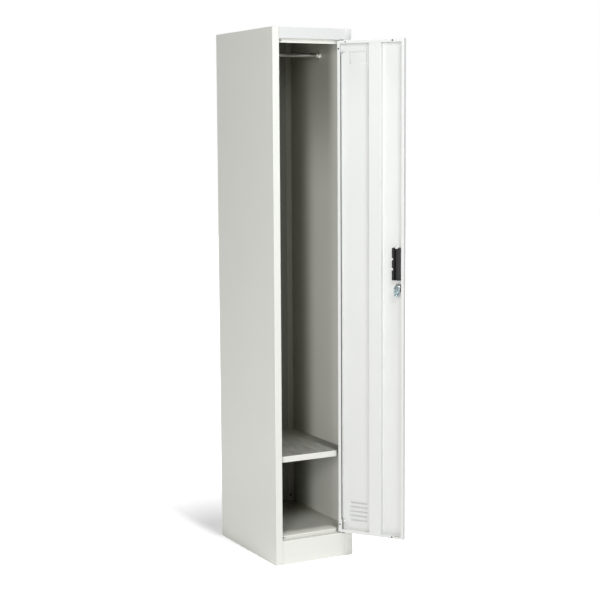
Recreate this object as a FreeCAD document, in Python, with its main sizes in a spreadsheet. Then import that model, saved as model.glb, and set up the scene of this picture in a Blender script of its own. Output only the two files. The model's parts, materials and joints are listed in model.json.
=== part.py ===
import FreeCAD, Part
import math
import os

import Sketcher

# Single-door steel clothes locker, folded from sheet and powder coated.
# Frame: floor level at the middle of the back face, +X right, +Y to the wall, +Z up, millimetres.
# Each carcass piece is drawn with the front face at Y = 0 and then set back against the wall plane.
# The door hangs on two pivot pins at the right and stands open at door_open_angle.

SIZES = (
    # Carcass
    ("locker_width", 300),
    ("locker_depth", 450),
    ("locker_height", 1830),
    ("sheet_gauge", 0.8),
    ("bend_radius", 1),
    ("post_width", 25),
    ("post_depth", 20),
    ("post_return", 16),
    ("rear_flange", 22),
    ("fascia_height", 38),
    ("plinth_height", 85),
    ("plinth_shelf", 40),
    ("plinth_foot", 20),
    ("sill_height", 11),
    ("pan_flange", 18),
    ("stop_drop", 13),
    ("wall_hole", 6.5),
    ("wall_hole_inset", 14),
    ("wall_hole_end", 118),
    # Shelf and its brackets
    ("shelf_rise", 278.5),
    ("shelf_setback", 24),
    ("shelf_lip", 20),
    ("shelf_lip_inset", 50),
    ("shelf_lip_inset_left", 30),
    ("shelf_play", 0.5),
    ("bracket_gauge", 1.5),
    ("bracket_leg", 14),
    ("bracket_length", 30),
    ("bracket_inset", 40),
    # Hanging rod
    ("rod_drop", 78),
    ("rod_setback", 228),
    ("rod_diameter", 16),
    ("rod_wall", 1.2),
    ("rod_end_play", 0.5),
    ("socket_fit", 0.15),
    ("socket_wall", 2.5),
    ("socket_depth", 12),
    ("socket_flange", 30),
    ("socket_flange_thickness", 2),
    # Door pan
    ("door_gap", 2),
    ("door_thickness", 18),
    ("door_open_angle", 125.5),
    ("door_lip", 12),
    ("door_free_lip", 9),
    ("door_end_lip", 11),
    ("return_gap", 1.2),
    ("return_clear", 4),
    ("lip_hole", 4),
    ("lip_hole_end", 28),
    ("end_hole_inset", 42),
    ("drain_hole", 5),
    ("drain_hole_inset", 35),
    ("stiffener_width", 46),
    ("stiffener_centre", 140),
    ("stiffener_foot", 10),
    ("louvre_width", 70),
    ("louvre_height", 12),
    ("louvre_depth", 5),
    ("louvre_lip", 3),
    ("louvre_slope", 6),
    ("louvre_cover", 1.5),
    ("louvre_pitch", 15.6),
    ("louvre_centre", 69),
    ("louvre_rise", 39.6),
    ("card_width", 62),
    ("card_height", 38),
    ("card_centre", 73),
    ("card_end", 58),
    ("card_press", 1.5),
    # Pivot hinge
    ("pivot_inset", 10),
    ("pivot_depth", 6),
    ("swing_clearance", 0.5),
    ("pin_diameter", 6),
    ("pin_fit", 0.05),
    ("pin_reach", 9),
    ("pin_head", 9),
    ("pin_head_height", 3),
    ("bush_wall", 1),
    ("bush_flange", 11),
    ("bush_length", 6),
    ("bush_play", 0.1),
    ("hinge_plate_width", 24),
    ("hinge_plate_height", 38),
    ("hinge_plate_gauge", 1.5),
    ("hinge_ear", 12),
    # Recessed pull
    ("pull_centre", 219),
    ("pull_rise", 951),
    ("pull_width", 34),
    ("pull_length", 110),
    ("pull_depth", 15),
    ("pull_shallow", 8),
    ("pull_wall", 2),
    ("pull_grip", 7),
    ("pull_grip_thickness", 2.5),
    ("pull_bezel", 4),
    ("pull_bezel_corner", 6),
    ("pull_bezel_thickness", 2),
    ("pull_fit", 0.2),
    ("clip_length", 29),
    ("clip_pitch", 38),
    ("clip_reach", 2.5),
    ("clip_height", 3),
    # Cam lock
    ("lock_centre", 222),
    ("lock_drop", 81),
    ("lock_barrel", 19),
    ("lock_barrel_length", 20),
    ("lock_head", 24),
    ("lock_head_height", 3),
    ("lock_hole_fit", 0.15),
    ("lock_nut_across", 26),
    ("lock_nut_height", 5),
    ("plug_diameter", 13.5),
    ("plug_fit", 0.05),
    ("plug_shoulder", 0.3),
    ("plug_square", 7),
    ("keyway_width", 2),
    ("keyway_height", 8),
    ("keyway_depth", 9),
    ("cam_gauge", 2.5),
    ("cam_hub", 18),
    ("cam_width", 20),
    ("cam_reach", 30),
    ("cam_fit", 0.1),
    ("cam_screw", 4),
    ("cam_screw_length", 9),
    ("cam_screw_head", 9),
    ("cam_screw_head_height", 3),
    # Rubber buffers on the door stops
    ("buffer_diameter", 8),
    ("buffer_gap", 0.3),
    ("buffer_inset", 12),
)
LOUVRES = 5
PULL_CLIPS = 3
HEXAGON = 6
CUT_MARGIN = 0.5
SAME_SPOT = 1e-4

doc = FreeCAD.newDocument("steel_locker")
table = doc.addObject("Spreadsheet::Sheet", "sizes")


class Size:
    """A length together with the spreadsheet formula that drives it."""

    def __init__(self, number, formula):
        self.number = number
        self.formula = formula

    def __add__(self, other):
        other = as_size(other)
        return Size(self.number + other.number, f"({self.formula} + {other.formula})")

    def __sub__(self, other):
        other = as_size(other)
        return Size(self.number - other.number, f"({self.formula} - {other.formula})")

    def __mul__(self, factor):
        return Size(self.number * factor, f"({self.formula} * {factor})")

    def __truediv__(self, factor):
        return Size(self.number / factor, f"({self.formula} / {factor})")

    def __neg__(self):
        return self * -1

    def hypotenuse(self, other):
        formula = f"sqrt({self.formula} * {self.formula} + {other.formula} * {other.formula})"
        return Size(math.hypot(self.number, other.number), formula)


def as_size(value):
    if isinstance(value, Size):
        return value
    return Size(float(value), str(float(value)))


def fill_table():
    cells = {}
    for row, (name, value) in enumerate(SIZES, start=1):
        table.set(f"A{row}", name)
        table.set(f"B{row}", str(value))
        table.setAlias(f"B{row}", name)
        cells[name] = Size(float(value), f"sizes.{name}")
    doc.recompute()
    return cells


cell = fill_table()
gauge = cell["sheet_gauge"]
half_width = cell["locker_width"] / 2
post_inside = half_width - cell["post_width"]
wall_inside = half_width - gauge
side_back = cell["locker_depth"] - gauge
flange_front = side_back - gauge
fascia_foot = cell["locker_height"] - cell["fascia_height"]
floor_level = cell["plinth_height"] + cell["sill_height"]
shelf_level = floor_level + cell["shelf_rise"]
rod_level = cell["locker_height"] - cell["rod_drop"]

door_width = (post_inside - cell["door_gap"]) * 2
door_foot = cell["plinth_height"] + cell["door_gap"]
door_head = fascia_foot - cell["door_gap"]
pull_level = door_foot + cell["pull_rise"]
lock_level = pull_level - cell["lock_drop"]
hinge_x = post_inside - cell["door_gap"] - cell["pivot_inset"]
hinge_y = cell["pivot_depth"]
swing_radius = cell["pivot_inset"].hypotenuse(cell["door_thickness"] - cell["pivot_depth"])
relief_edge = hinge_x - swing_radius - cell["swing_clearance"]
relief_back = hinge_y + swing_radius + cell["swing_clearance"]


# Drawing helpers

def in_order(*pair):
    return sorted(pair, key=lambda size: size.number)


def bind(target, path, size):
    target.setExpression(path, as_size(size).formula)


def new_body(label):
    body = doc.addObject("PartDesign::Body", label)
    body.Label = label
    bind(body, "Placement.Base.y", -cell["locker_depth"])
    return body


def datum(body, role):
    return next(item for item in body.Origin.OriginFeatures if item.Role == role)


def new_sketch(body, role, offset):
    sketch = body.newObject("Sketcher::SketchObject", f"{body.Label}_sketch")
    sketch.AttachmentSupport = [(datum(body, role), "")]
    sketch.MapMode = "FlatFace"
    bind(sketch, "AttachmentOffset.Base.z", offset)
    return sketch


def hold(sketch, geometry, vertex, point):
    for kind, size in zip(("DistanceX", "DistanceY"), point):
        size = as_size(size)
        rule = Sketcher.Constraint(kind, -1, 1, geometry, vertex, size.number)
        bind(sketch, f"Constraints[{sketch.addConstraint(rule)}]", size)


def draw_outline(sketch, points):
    spots = [FreeCAD.Vector(as_size(a).number, as_size(b).number, 0) for a, b in points]
    first = sketch.GeometryCount
    for start, end in zip(spots, spots[1:] + spots[:1]):
        sketch.addGeometry(Part.LineSegment(start, end), False)
    for index, point in enumerate(points):
        following = first + (index + 1) % len(points)
        sketch.addConstraint(Sketcher.Constraint("Coincident", first + index, 2, following, 1))
        hold(sketch, first + index, 1, point)


def draw_circle(sketch, centre, diameter):
    spot = FreeCAD.Vector(as_size(centre[0]).number, as_size(centre[1]).number, 0)
    ring = Part.Circle(spot, FreeCAD.Vector(0, 0, 1), diameter.number / 2)
    index = sketch.addGeometry(ring, False)
    hold(sketch, index, 3, centre)
    rule = Sketcher.Constraint("Diameter", index, diameter.number)
    bind(sketch, f"Constraints[{sketch.addConstraint(rule)}]", diameter)


def sketch_between(body, role, start, end):
    """A sketch placed so that padding it by end - start fills that stretch of the plane's axis."""
    offset = -as_size(end) if role == "XZ_Plane" else start
    return new_sketch(body, role, offset)


def extrude(body, kind, sketch, length):
    feature = body.newObject(f"PartDesign::{kind}", f"{body.Label}_{kind.lower()}")
    feature.Profile = sketch
    bind(feature, "Length", length)
    if kind == "Pocket":
        feature.Reversed = True
    return feature


def prism(body, role, points, start, end, kind="Pad"):
    sketch = sketch_between(body, role, start, end)
    draw_outline(sketch, points)
    return extrude(body, kind, sketch, as_size(end) - start)


def box(body, x_range, y_range, z_range, kind="Pad"):
    (left, right), (front, back) = x_range, y_range
    corners = [(left, front), (right, front), (right, back), (left, back)]
    return prism(body, "XY_Plane", corners, *z_range, kind)


def disc(body, role, centre, diameter, start, end, kind="Pad", bore=None):
    sketch = sketch_between(body, role, start, end)
    draw_circle(sketch, centre, diameter)
    if bore is not None:
        draw_circle(sketch, centre, bore)
    return extrude(body, kind, sketch, as_size(end) - start)


def loft(body, kind, sections):
    """Join upright rectangles, each given by its depth, its two sides and its two levels."""
    outlines = []
    for depth, (left, right), (low, high) in sections:
        outline = new_sketch(body, "XZ_Plane", -depth)
        draw_outline(outline, [(left, low), (right, low), (right, high), (left, high)])
        outlines.append(outline)
    feature = body.newObject(f"PartDesign::{kind}", f"{body.Label}_{kind.lower()}")
    feature.Profile = outlines[0]
    feature.Sections = outlines[1:]
    return feature


def hexagon(body, role, centre, across, start, end):
    """A regular hexagon across its flats, with two corners along the first axis."""
    reach = across / math.sqrt(3)
    points = []
    for corner in range(HEXAGON):
        turn = 2 * math.pi * corner / HEXAGON
        points.append((reach * math.cos(turn) + centre[0], reach * math.sin(turn) + centre[1]))
    return prism(body, role, points, start, end)


def round_edges(body, radius, wanted):
    doc.recompute()
    base = body.Tip
    names = [f"Edge{index}" for index, edge in enumerate(base.Shape.Edges, start=1) if wanted(edge)]
    fillet = body.newObject("PartDesign::Fillet", f"{body.Label}_bend")
    fillet.Base = (base, names)
    bind(fillet, "Radius", radius)
    return fillet


AXES_OF = {"XY_Plane": ("x", "y"), "XZ_Plane": ("x", "z"), "YZ_Plane": ("y", "z")}


def through_corner(role, corners):
    """Tell the edges that run along a plane's axis through one of these corners."""
    first, second = AXES_OF[role]

    def wanted(edge):
        ends = [vertex.Point for vertex in edge.Vertexes]
        places = [(getattr(end, first), getattr(end, second)) for end in ends]
        return any(all(math.dist(place, corner) < SAME_SPOT for place in places) for corner in corners)

    return wanted


def folded_sheet(body, role, chain, start, end, thickness=gauge):
    """Fold a sheet along a chain of square corners, with the metal on the chain's left."""
    spots = [(as_size(a).number, as_size(b).number) for a, b in chain]
    lefts = []
    for (a, b), (c, d) in zip(spots, spots[1:]):
        run = math.hypot(c - a, d - b)
        lefts.append((round((b - d) / run), round((c - a) / run)))
    sides = [lefts[0]]
    sharp, wide = [], []
    for before, after in zip(lefts, lefts[1:]):
        sides.append((before[0] + after[0], before[1] + after[1]))
    sides.append(lefts[-1])
    inner = [(as_size(a) + thickness * i, as_size(b) + thickness * j)
             for (a, b), (i, j) in zip(chain, sides)]
    for index in range(1, len(chain) - 1):
        before, after = lefts[index - 1], lefts[index]
        turns_left = before[0] * after[1] - before[1] * after[0] > 0
        offset_spot = tuple(size.number for size in inner[index])
        wide.append(spots[index] if turns_left else offset_spot)
        sharp.append(offset_spot if turns_left else spots[index])
    prism(body, role, list(chain) + inner[::-1], start, end)
    round_edges(body, cell["bend_radius"], through_corner(role, sharp))
    round_edges(body, cell["bend_radius"] + thickness, through_corner(role, wide))


# Carcass

def side_panel(label, hand):
    """Side wall with the front post and the rear flange folded on it."""
    body = new_body(label)
    post_lip = post_inside + cell["post_return"]
    chain = [
        ((half_width - cell["rear_flange"]) * hand, side_back),
        (half_width * hand, side_back),
        (half_width * hand, as_size(0)),
        (post_inside * hand, as_size(0)),
        (post_inside * hand, cell["post_depth"]),
        (post_lip * hand, cell["post_depth"]),
    ]
    if hand > 0:
        chain.reverse()
    folded_sheet(body, "XY_Plane", chain, as_size(0), cell["locker_height"] - gauge)
    wall_holes(body, [hand], flange_front, side_back)
    return body


def wall_holes(body, hands, front, back):
    for hand in hands:
        across = (half_width - cell["wall_hole_inset"]) * hand
        for level in (cell["wall_hole_end"], cell["locker_height"] - cell["wall_hole_end"]):
            hole(body, "XZ_Plane", (across, level), cell["wall_hole"], front, back)


def hole(body, role, centre, diameter, start, end):
    return disc(body, role, centre, diameter, start - CUT_MARGIN, end + CUT_MARGIN, "Pocket")


def back_panel():
    body = new_body("back_panel")
    box(body, (-wall_inside, wall_inside), (side_back, cell["locker_depth"]),
        (as_size(0), cell["locker_height"] - gauge))
    wall_holes(body, (-1, 1), side_back, cell["locker_depth"])
    return body


def post_notches(body, low, high):
    """Clear both front corners for the posts."""
    for hand in (-1, 1):
        across = in_order(post_inside * hand, (half_width + CUT_MARGIN) * hand)
        box(body, across, (as_size(-CUT_MARGIN), cell["post_depth"]), (low, high), "Pocket")


def rear_reliefs(body, low, high):
    """Clear both rear corners for the inside bends of the side walls."""
    room = cell["bend_radius"] + gauge
    for hand in (-1, 1):
        across = in_order((half_width - room) * hand, (half_width + CUT_MARGIN) * hand)
        box(body, across, (flange_front - room, flange_front + CUT_MARGIN), (low, high), "Pocket")


def hinge_relief(body, low, high):
    """Clear the door's inner hinge corner as it swings."""
    box(body, (relief_edge, wall_inside + CUT_MARGIN),
        (cell["post_depth"] - CUT_MARGIN, relief_back), (low, high), "Pocket")


def top_panel():
    """Roof, fascia, pivot ledge and door stop folded from one sheet."""
    body = new_body("top_panel")
    head = cell["locker_height"]
    stop_foot = fascia_foot - cell["stop_drop"]
    chain = [
        (cell["locker_depth"], head),
        (as_size(0), head),
        (as_size(0), fascia_foot),
        (cell["post_depth"], fascia_foot),
        (cell["post_depth"], stop_foot),
    ]
    folded_sheet(body, "YZ_Plane", chain, -half_width, half_width)
    roof_under = head - gauge
    for hand in (-1, 1):
        beside = in_order(wall_inside * hand, (half_width + CUT_MARGIN) * hand)
        box(body, beside, (cell["post_depth"], cell["locker_depth"]),
            (stop_foot - CUT_MARGIN, roof_under), "Pocket")
    post_notches(body, stop_foot - CUT_MARGIN, roof_under)
    hinge_relief(body, stop_foot - CUT_MARGIN, fascia_foot)
    hole(body, "XY_Plane", (hinge_x, hinge_y), bush_body(), fascia_foot, fascia_foot + gauge)
    return body


def floor_panel():
    """Floor tray with the front lip that stops the door."""
    body = new_body("floor_panel")
    flange_foot = floor_level - cell["pan_flange"]
    chain = [
        (flange_front, flange_foot),
        (flange_front, floor_level),
        (cell["post_depth"], floor_level),
        (cell["post_depth"], cell["plinth_height"]),
    ]
    folded_sheet(body, "YZ_Plane", chain, -wall_inside, wall_inside)
    hinge_relief(body, cell["plinth_height"] - CUT_MARGIN, floor_level + CUT_MARGIN)
    rear_reliefs(body, flange_foot - CUT_MARGIN, floor_level + CUT_MARGIN)
    return body


def plinth_panel():
    """Kick plate between the posts, with the ledge that carries the lower pivot."""
    body = new_body("plinth_panel")
    chain = [
        (cell["plinth_shelf"], cell["plinth_height"]),
        (as_size(0), cell["plinth_height"]),
        (as_size(0), as_size(0)),
        (cell["plinth_foot"], as_size(0)),
    ]
    folded_sheet(body, "YZ_Plane", chain, -post_inside, post_inside)
    ledge = cell["plinth_height"]
    hole(body, "XY_Plane", (hinge_x, hinge_y), bush_body(), ledge - gauge, ledge)
    return body


# Shelf and hanging rod

def shelf():
    """Shelf tray with a turned-down lip all round, open at the front corners."""
    body = new_body("shelf")
    reach = wall_inside - cell["shelf_play"]
    foot = shelf_level - cell["shelf_lip"]
    box(body, (-reach, reach), (cell["shelf_setback"], flange_front), (foot, shelf_level))
    top = shelf_level.number
    round_edges(body, cell["bend_radius"] + gauge,
                lambda edge: all(abs(vertex.Z - top) < SAME_SPOT for vertex in edge.Vertexes))
    doc.recompute()
    base = body.Tip
    under = [f"Face{index}" for index, face in enumerate(base.Shape.Faces, start=1)
             if abs(face.CenterOfMass.z - foot.number) < SAME_SPOT]
    tray = body.newObject("PartDesign::Thickness", "shelf_tray")
    tray.Base = (base, under)
    tray.Reversed = True
    bind(tray, "Value", gauge)
    lip_back = cell["shelf_setback"] + gauge + cell["bend_radius"]
    for hand, inset in ((-1, cell["shelf_lip_inset_left"]), (1, cell["shelf_lip_inset"])):
        corner = in_order((half_width - inset) * hand, (reach + CUT_MARGIN) * hand)
        box(body, corner, (cell["shelf_setback"] - CUT_MARGIN, lip_back),
            (foot - CUT_MARGIN, shelf_level + CUT_MARGIN), "Pocket")
    rear_reliefs(body, foot - CUT_MARGIN, shelf_level + CUT_MARGIN)
    return body


def shelf_bracket(label, hand, near):
    """Angle welded to the side wall, under the shelf's side lip."""
    body = new_body(label)
    top = shelf_level - cell["shelf_lip"]
    chain = [
        (wall_inside * hand, top - cell["bracket_leg"]),
        (wall_inside * hand, top),
        ((wall_inside - cell["bracket_leg"]) * hand, top),
    ]
    if hand < 0:
        chain.reverse()
    if near:
        front = cell["shelf_setback"] + cell["bracket_inset"]
    else:
        front = flange_front - cell["bracket_inset"] - cell["bracket_length"]
    folded_sheet(body, "XZ_Plane", chain, front, front + cell["bracket_length"], cell["bracket_gauge"])
    return body


def rod_socket(label, hand):
    """Flanged cup on the side wall that holds one end of the rod."""
    body = new_body(label)
    centre = (cell["rod_setback"], rod_level)
    bore = cell["rod_diameter"] + cell["socket_fit"] * 2
    plate = wall_inside - cell["socket_flange_thickness"]
    mouth = plate - cell["socket_depth"]
    ranges = ((plate, wall_inside), (mouth, plate))
    widths = (cell["socket_flange"], bore + cell["socket_wall"] * 2)
    for (start, end), width in zip(ranges, widths):
        disc(body, "YZ_Plane", centre, width, *in_order(start * hand, end * hand))
    disc(body, "YZ_Plane", centre, bore, *in_order(mouth * hand, plate * hand), "Pocket")
    return body


def hanging_rod():
    body = new_body("hanging_rod")
    reach = wall_inside - cell["socket_flange_thickness"] - cell["rod_end_play"]
    centre = (cell["rod_setback"], rod_level)
    inside = cell["rod_diameter"] - cell["rod_wall"] * 2
    disc(body, "YZ_Plane", centre, cell["rod_diameter"], -reach, reach, bore=inside)
    return body


# Pivot bushes and door stops on the carcass

def pin_bore():
    return cell["pin_diameter"] + cell["pin_fit"] * 2


def bush_body():
    return pin_bore() + cell["bush_wall"] * 2


def hinge_bush(label, face, way):
    """Flanged plastic bush in a pivot ledge, its flange towards the door."""
    body = new_body(label)
    centre = (hinge_x, hinge_y)
    flange = face - (cell["door_gap"] - cell["bush_play"]) * way
    stem = face + cell["bush_length"] * way
    for end, width in ((flange, cell["bush_flange"]), (stem, bush_body())):
        disc(body, "XY_Plane", centre, width, *in_order(face, end), bore=pin_bore())
    return body


def stop_buffer(label, level):
    body = new_body(label)
    across = -post_inside + cell["door_gap"] + cell["buffer_inset"]
    front = cell["door_thickness"] + cell["buffer_gap"]
    disc(body, "XZ_Plane", (across, level), cell["buffer_diameter"], front, cell["post_depth"])
    return body


# Door, drawn closed about its pivot axis and then swung open

def on_door(distance):
    """Turn a distance from the door's hinge edge into the door's own X."""
    return cell["pivot_inset"] - distance


def into_door(depth):
    """Turn a depth behind the door's outer face into the door's own Y."""
    return as_size(depth) - cell["pivot_depth"]


def hang(body):
    """Carry a piece drawn about the pivot axis to the open door."""
    bind(body, "Placement.Base.x", hinge_x)
    bind(body, "Placement.Base.y", hinge_y - cell["locker_depth"])
    bind(body, "Placement.Rotation.Angle", cell["door_open_angle"])
    return body


def door_box(body, distances, depths, levels, kind="Pad"):
    near, far = distances
    front, back = depths
    return box(body, (on_door(as_size(far)), on_door(as_size(near))),
               (into_door(front), into_door(back)), levels, kind)


def fold_lines(distances, depths, levels):
    """Tell the edges round the front and the back of a block on the door."""
    xs = [on_door(as_size(value)).number for value in distances]
    ys = [into_door(value).number for value in depths]
    zs = [as_size(value).number for value in levels]

    def at_corner(point):
        return all(min(abs(value - limit) for limit in limits) < SAME_SPOT
                   for value, limits in zip((point.x, point.y, point.z), (xs, ys, zs)))

    def wanted(edge):
        ends = [vertex.Point for vertex in edge.Vertexes]
        level_ends = max(end.y for end in ends) - min(end.y for end in ends) < SAME_SPOT
        return level_ends and all(at_corner(end) for end in ends)

    return wanted


def door_skin():
    """Folded door pan with lips all round, a return at the hinge, louvres, a card recess and cut-outs."""
    body = new_body("door_skin")
    thickness = cell["door_thickness"]
    block = ((as_size(0), door_width), (as_size(0), thickness), (door_foot, door_head))
    door_box(body, *block)
    round_edges(body, cell["bend_radius"] + gauge, fold_lines(*block))
    hollow = ((gauge, door_width - gauge), (gauge, thickness - gauge),
              (door_foot + gauge, door_head - gauge))
    door_box(body, *hollow, "Pocket")
    round_edges(body, cell["bend_radius"], fold_lines(*hollow))
    lip = cell["door_lip"]
    door_box(body, (lip, door_width - cell["door_free_lip"]),
             (thickness - gauge - CUT_MARGIN, thickness + CUT_MARGIN),
             (door_foot + cell["door_end_lip"], door_head - cell["door_end_lip"]), "Pocket")
    past_pin = gauge + cell["hinge_plate_height"] + cell["pin_head_height"] + cell["return_clear"]
    door_box(body, (lip - gauge, lip), (gauge + cell["return_gap"], thickness),
             (door_foot + past_pin, door_head - past_pin))
    card_recess(body)
    louvres(body)
    door_holes(body)
    return hang(body)


def card_recess(body):
    """Shallow recess for a name card, pressed in from the front."""
    half = cell["card_width"] / 2
    centre, level = cell["card_centre"], door_head - cell["card_end"]
    half_tall = cell["card_height"] / 2
    press = cell["card_press"]
    door_box(body, (centre - half, centre + half), (gauge, gauge + press),
             (level - half_tall, level + half_tall))
    door_box(body, (centre - half + gauge, centre + half - gauge), (as_size(-CUT_MARGIN), press),
             (level - half_tall + gauge, level + half_tall - gauge), "Pocket")


def louvres(body):
    """Hooded slots with sloping ends, pressed outwards and open below, where the hoods cover the slots."""
    half = cell["louvre_width"] / 2
    foot = door_foot + cell["louvre_rise"]
    head, lip = foot + cell["louvre_height"], foot + cell["louvre_lip"]
    left, right = on_door(cell["louvre_centre"] + half), on_door(cell["louvre_centre"] - half)
    skin, inside, brow = into_door(0), into_door(gauge), into_door(-cell["louvre_depth"])
    slope = cell["louvre_slope"]
    mouth = foot - CUT_MARGIN
    hood = loft(body, "AdditiveLoft", ((skin, (left, right), (foot, head)),
                                       (brow, (left + slope, right - slope), (foot, lip))))
    left, right = left + gauge, right - gauge
    throat = loft(body, "SubtractiveLoft", ((skin, (left, right), (mouth, head - gauge)),
                                            (brow + gauge, (left + slope, right - slope), (mouth, lip))))
    slot = box(body, (left, right), (skin - CUT_MARGIN, inside + CUT_MARGIN),
               (foot + cell["louvre_cover"], head - gauge), "Pocket")
    row = body.newObject("PartDesign::LinearPattern", "door_skin_louvres")
    row.Originals = [hood, throat, slot]
    row.Direction = (datum(body, "Z_Axis"), [""])
    row.Occurrences = LOUVRES
    bind(row, "Length", cell["louvre_pitch"] * (LOUVRES - 1))
    body.Tip = row


def door_holes(body):
    back = into_door(cell["door_thickness"])
    for distance, inset in ((cell["door_lip"] / 2, cell["lip_hole_end"]),
                            (door_width - cell["end_hole_inset"], cell["door_end_lip"] / 2)):
        for level in (door_foot + inset, door_head - inset):
            hole(body, "XZ_Plane", (on_door(distance), level), cell["lip_hole"], back - gauge, back)
    middle = into_door(cell["door_thickness"] / 2)
    for distance in (cell["drain_hole_inset"], door_width - cell["drain_hole_inset"]):
        for low in (door_foot, door_head - gauge):
            hole(body, "XY_Plane", (on_door(distance), middle), cell["drain_hole"], low, low + gauge)
    for low in (door_foot, door_head - gauge):
        hole(body, "XY_Plane", (as_size(0), as_size(0)), pin_bore(), low, low + gauge)
    skin, inside = into_door(0), into_door(gauge)
    lock_bore = cell["lock_barrel"] + cell["lock_hole_fit"] * 2
    hole(body, "XZ_Plane", (on_door(cell["lock_centre"]), lock_level), lock_bore, skin, inside)
    half = cell["pull_width"] / 2 + cell["pull_fit"]
    half_tall = cell["pull_length"] / 2 + cell["pull_fit"]
    centre, level = cell["pull_centre"], pull_level
    door_box(body, (centre - half, centre + half), (as_size(-CUT_MARGIN), gauge + CUT_MARGIN),
             (level - half_tall, level + half_tall), "Pocket")


def door_stiffener():
    """Hat channel on the inside of the skin, tucked under the top and bottom lips."""
    body = new_body("door_stiffener")
    half = cell["stiffener_width"] / 2 - gauge
    centre = cell["stiffener_centre"]
    foot, crown = into_door(gauge), into_door(cell["door_thickness"] - gauge * 2)
    near, far = on_door(centre - half), on_door(centre + half)
    chain = [
        (far - cell["stiffener_foot"], foot),
        (far, foot),
        (far, crown),
        (near, crown),
        (near, foot),
        (near + cell["stiffener_foot"], foot),
    ]
    clear = gauge + cell["bend_radius"]
    folded_sheet(body, "XY_Plane", chain, door_foot + clear, door_head - clear)
    return hang(body)


def hinge_bracket(label, end, way):
    """Channel in the door's hinge corner, with two ears for the pivot pin."""
    body = new_body(label)
    face = end - gauge * way
    far = face - cell["hinge_plate_height"] * way
    low, high = in_order(face, far)
    plate = into_door(gauge)
    ear = plate + cell["hinge_ear"]
    chain = [(ear, high), (plate, high), (plate, low), (ear, low)]
    near = gauge + cell["bend_radius"]
    folded_sheet(body, "YZ_Plane", chain, on_door(near + cell["hinge_plate_width"]), on_door(near),
                 cell["hinge_plate_gauge"])
    hole(body, "XY_Plane", (as_size(0), as_size(0)), pin_bore(), low, high)
    return hang(body)


def hinge_pin(label, end, way):
    """Headed pivot pin, driven through both ears of its bracket."""
    body = new_body(label)
    axis = (as_size(0), as_size(0))
    tip = end + cell["pin_reach"] * way
    ear = end - (gauge + cell["hinge_plate_height"]) * way
    disc(body, "XY_Plane", axis, cell["pin_diameter"], *in_order(tip, ear))
    disc(body, "XY_Plane", axis, cell["pin_head"], *in_order(ear, ear - cell["pin_head_height"] * way))
    return hang(body)


def pull_cup():
    """Recessed pull: a bezel on the skin, a ramped finger well behind it and three clips."""
    body = new_body("pull_cup")
    half, half_tall = cell["pull_width"] / 2, cell["pull_length"] / 2
    centre, level = cell["pull_centre"], pull_level
    wall, plate = cell["pull_wall"], cell["pull_bezel_thickness"]
    low, high = level - half_tall, level + half_tall
    rim = cell["pull_bezel"]
    bezel = ((centre - half - rim, centre + half + rim), (-plate, as_size(0)), (low - rim, high + rim))
    door_box(body, *bezel)
    along_y = [(on_door(d).number, z.number) for d in bezel[0] for z in bezel[2]]
    round_edges(body, cell["pull_bezel_corner"], through_corner("XZ_Plane", along_y))

    def plan(points):
        return [(on_door(distance), into_door(depth)) for distance, depth in points]

    well = [
        (centre - half, as_size(0)),
        (centre - half, cell["pull_depth"]),
        (centre, cell["pull_depth"]),
        (centre + half, cell["pull_shallow"]),
        (centre + half, as_size(0)),
    ]
    prism(body, "XY_Plane", plan(well), low, high)
    grip = centre - half + wall
    under_grip = cell["pull_grip_thickness"] - plate
    fingers = [
        (grip, under_grip),
        (grip, cell["pull_depth"] - wall),
        (centre, cell["pull_depth"] - wall),
        (centre + half - wall, cell["pull_shallow"] - wall),
        (centre + half - wall, -plate - CUT_MARGIN),
        (grip + cell["pull_grip"], -plate - CUT_MARGIN),
        (grip + cell["pull_grip"], under_grip),
    ]
    prism(body, "XY_Plane", plan(fingers), low + wall, high - wall, "Pocket")
    lowest = level - cell["clip_pitch"] * (PULL_CLIPS - 1) / 2 - cell["clip_length"] / 2
    clip = door_box(body, (centre - half - cell["clip_reach"], centre - half),
                    (gauge, gauge + cell["clip_height"]), (lowest, lowest + cell["clip_length"]))
    clips = body.newObject("PartDesign::LinearPattern", "pull_cup_clips")
    clips.Originals = [clip]
    clips.Direction = (datum(body, "Z_Axis"), [""])
    clips.Occurrences = PULL_CLIPS
    bind(clips, "Length", cell["clip_pitch"] * (PULL_CLIPS - 1))
    body.Tip = clips
    return hang(body)


# Cam lock

def lock_axis():
    return (on_door(cell["lock_centre"]), lock_level)


def cam_front():
    return cell["lock_barrel_length"] + cell["plug_shoulder"]


def lock_barrel():
    body = new_body("lock_barrel")
    bore = cell["plug_diameter"] + cell["plug_fit"] * 2
    front, skin = into_door(-cell["lock_head_height"]), into_door(0)
    back = into_door(cell["lock_barrel_length"])
    disc(body, "XZ_Plane", lock_axis(), cell["lock_head"], front, skin, bore=bore)
    disc(body, "XZ_Plane", lock_axis(), cell["lock_barrel"], skin, back, bore=bore)
    return hang(body)


def lock_nut():
    body = new_body("lock_nut")
    start, end = into_door(gauge), into_door(gauge + cell["lock_nut_height"])
    hexagon(body, "XZ_Plane", lock_axis(), cell["lock_nut_across"], start, end)
    hole(body, "XZ_Plane", lock_axis(), cell["lock_barrel"], start, end)
    return hang(body)


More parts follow.
